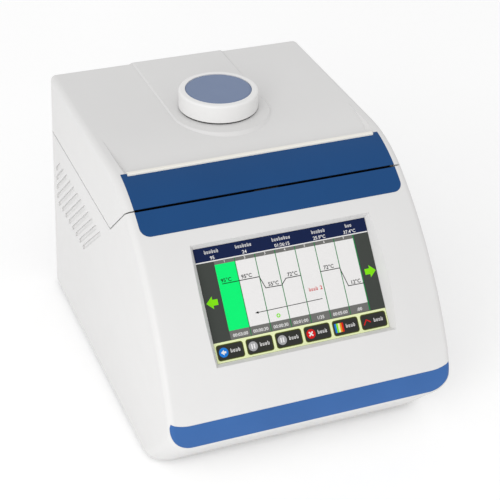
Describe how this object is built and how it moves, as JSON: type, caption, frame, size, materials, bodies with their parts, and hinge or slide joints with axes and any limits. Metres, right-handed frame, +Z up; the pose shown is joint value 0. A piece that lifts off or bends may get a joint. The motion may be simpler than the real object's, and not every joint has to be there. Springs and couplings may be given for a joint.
{
  "type": "thermal cycler",
  "caption": "Bench thermal cycler: white casing with a hinged lid, a knob that lowers a heated plate, a sloping touch screen, blue bands and a well block with its cooling inside.",
  "frame": {"origin": "on the table under the middle of the machine, in the plane the feet stand on", "axes": "+X to the right as seen from the front; +Y from the front lip to the rear; +Z up"},
  "size_m": [0.2826, 0.386, 0.271],
  "materials": {
    "white_shell": "satin moulded ABS",
    "band_blue": "satin deep blue",
    "strip_blue": "satin mid blue",
    "trim_cream": "satin",
    "knob_white": "satin",
    "disc_blue": "satin blue-grey",
    "touch_glass": "clear, dark behind",
    "module_black": "black",
    "tray_steel": "fine texture grey",
    "panel_grey": "fine texture grey",
    "deck_grey": "fine spark finish",
    "liner_grey": "fine spark finish",
    "silicone": "matt",
    "rubber": "matt",
    "screw_steel": "zinc plated",
    "sheet_steel": "zinc plated",
    "hinge_steel": "plated",
    "pin_steel": "ground",
    "board_green": "solder mask",
    "block_aluminium": "anodised",
    "sink_aluminium": "extruded",
    "plate_aluminium": "anodised",
    "supply_metal": "sheet",
    "graphite": "foil",
    "ceramic": "alumina",
    "fan_black": "moulded",
    "fan_plate": "sheet",
    "duct_grey": "sheet",
    "inlet_black": "moulded",
    "drawer_black": "moulded",
    "rocker_black": "moulded",
    "fuse_glass": "clear",
    "socket_metal": "nickel",
    "latch_grey": "moulded",
    "bush_brass": "turned",
    "felt_black": "felt",
    "seal_black": "foam",
    "carrier_black": "moulded",
    "insulation": "fibre board"
  },
  "bodies": {
    "base": {"base_housing": "white_shell", "bottom_tray": "tray_steel", "rubber_feet": "rubber", "tray_screws": "screw_steel", "top_deck": "deck_grey", "deck_gasket": "silicone", "rear_panel": "panel_grey", "panel_screws": "screw_steel", "base_blue_band": "band_blue", "front_blue_strip": "strip_blue", "louvre_guards": "white_shell", "touch_glass": "touch_glass", "display_module": "module_black", "display_bracket": "sheet_steel", "main_board": "board_green", "sample_block": "block_aluminium", "thermal_pads": "graphite", "heat_pumps": "ceramic", "heat_sink": "sink_aluminium", "block_screws": "screw_steel", "fan_frame_left": "fan_black", "fan_frame_right": "fan_black", "fan_mount": "fan_plate", "air_duct_left": "duct_grey", "air_duct_right": "duct_grey", "power_supply": "supply_metal", "driver_board": "board_green", "mains_inlet": "inlet_black", "switch_frame": "inlet_black", "usb_sockets": "socket_metal", "hinge_brackets": "hinge_steel", "keeper_plate": "sheet_steel"},
    "lid": {"lid_shell": "white_shell", "lid_liner": "liner_grey", "liner_screws": "screw_steel", "lid_blue_band": "band_blue", "lid_trim": "trim_cream", "lid_seal": "seal_black", "latch_guides": "liner_grey", "guide_posts": "pin_steel", "knob_bush": "bush_brass", "knob_ring": "felt_black", "hinge_leaves": "hinge_steel", "hinge_pins": "pin_steel"},
    "knob": {"knob_body": "knob_white", "knob_disc": "disc_blue", "knob_screw": "pin_steel"},
    "heated_plate": {"plate_carrier": "carrier_black", "plate_insulation": "insulation", "heated_plate": "plate_aluminium", "plate_screws": "screw_steel"},
    "latch": {"latch_bar": "latch_grey"},
    "rocker": {"power_rocker": "rocker_black"},
    "fuse_drawer": {"fuse_drawer": "drawer_black", "fuses": "fuse_glass"},
    "fan_left": {"fan_rotor_left": "fan_black"},
    "fan_right": {"fan_rotor_right": "fan_black"}
  },
  "joints": [
    {"name": "lid_hinge", "type": "hinge", "parent": "base", "child": "lid", "pos_m": [0, 0.184, 0.1966], "axis": [-1, 0, 0], "range_deg": [0, 80]},
    {"name": "knob_turn", "type": "hinge", "parent": "lid", "child": "knob", "pos_m": [0, 0.0665, 0.26], "axis": [0, 0, -1], "range_deg": [0, 720]},
    {"name": "plate_lowering", "type": "slide", "parent": "lid", "child": "heated_plate", "axis": [0, 0, -1], "range_m": [0, 0.006]},
    {"name": "latch_slide", "type": "slide", "parent": "lid", "child": "latch", "axis": [1, 0, 0], "range_m": [0, 0.008]},
    {"name": "power_switch", "type": "hinge", "parent": "base", "child": "rocker", "pos_m": [0.046, 0.187, 0.062], "axis": [-1, 0, 0], "range_deg": [0, 18]},
    {"name": "fuse_drawer_slide", "type": "slide", "parent": "base", "child": "fuse_drawer", "axis": [0, 1, 0], "range_m": [0, 0.018]},
    {"name": "fan_left_spin", "type": "hinge", "parent": "base", "child": "fan_left", "pos_m": [-0.0365, 0.0665, 0.095], "axis": [0, 0, 1], "continuous": true},
    {"name": "fan_right_spin", "type": "hinge", "parent": "base", "child": "fan_right", "pos_m": [0.0365, 0.0665, 0.095], "axis": [0, 0, 1], "continuous": true}
  ],
  "couplings": [
    {"joint": "plate_lowering", "follows": "knob_turn", "m_per_rad": 0.00047746}
  ]
}
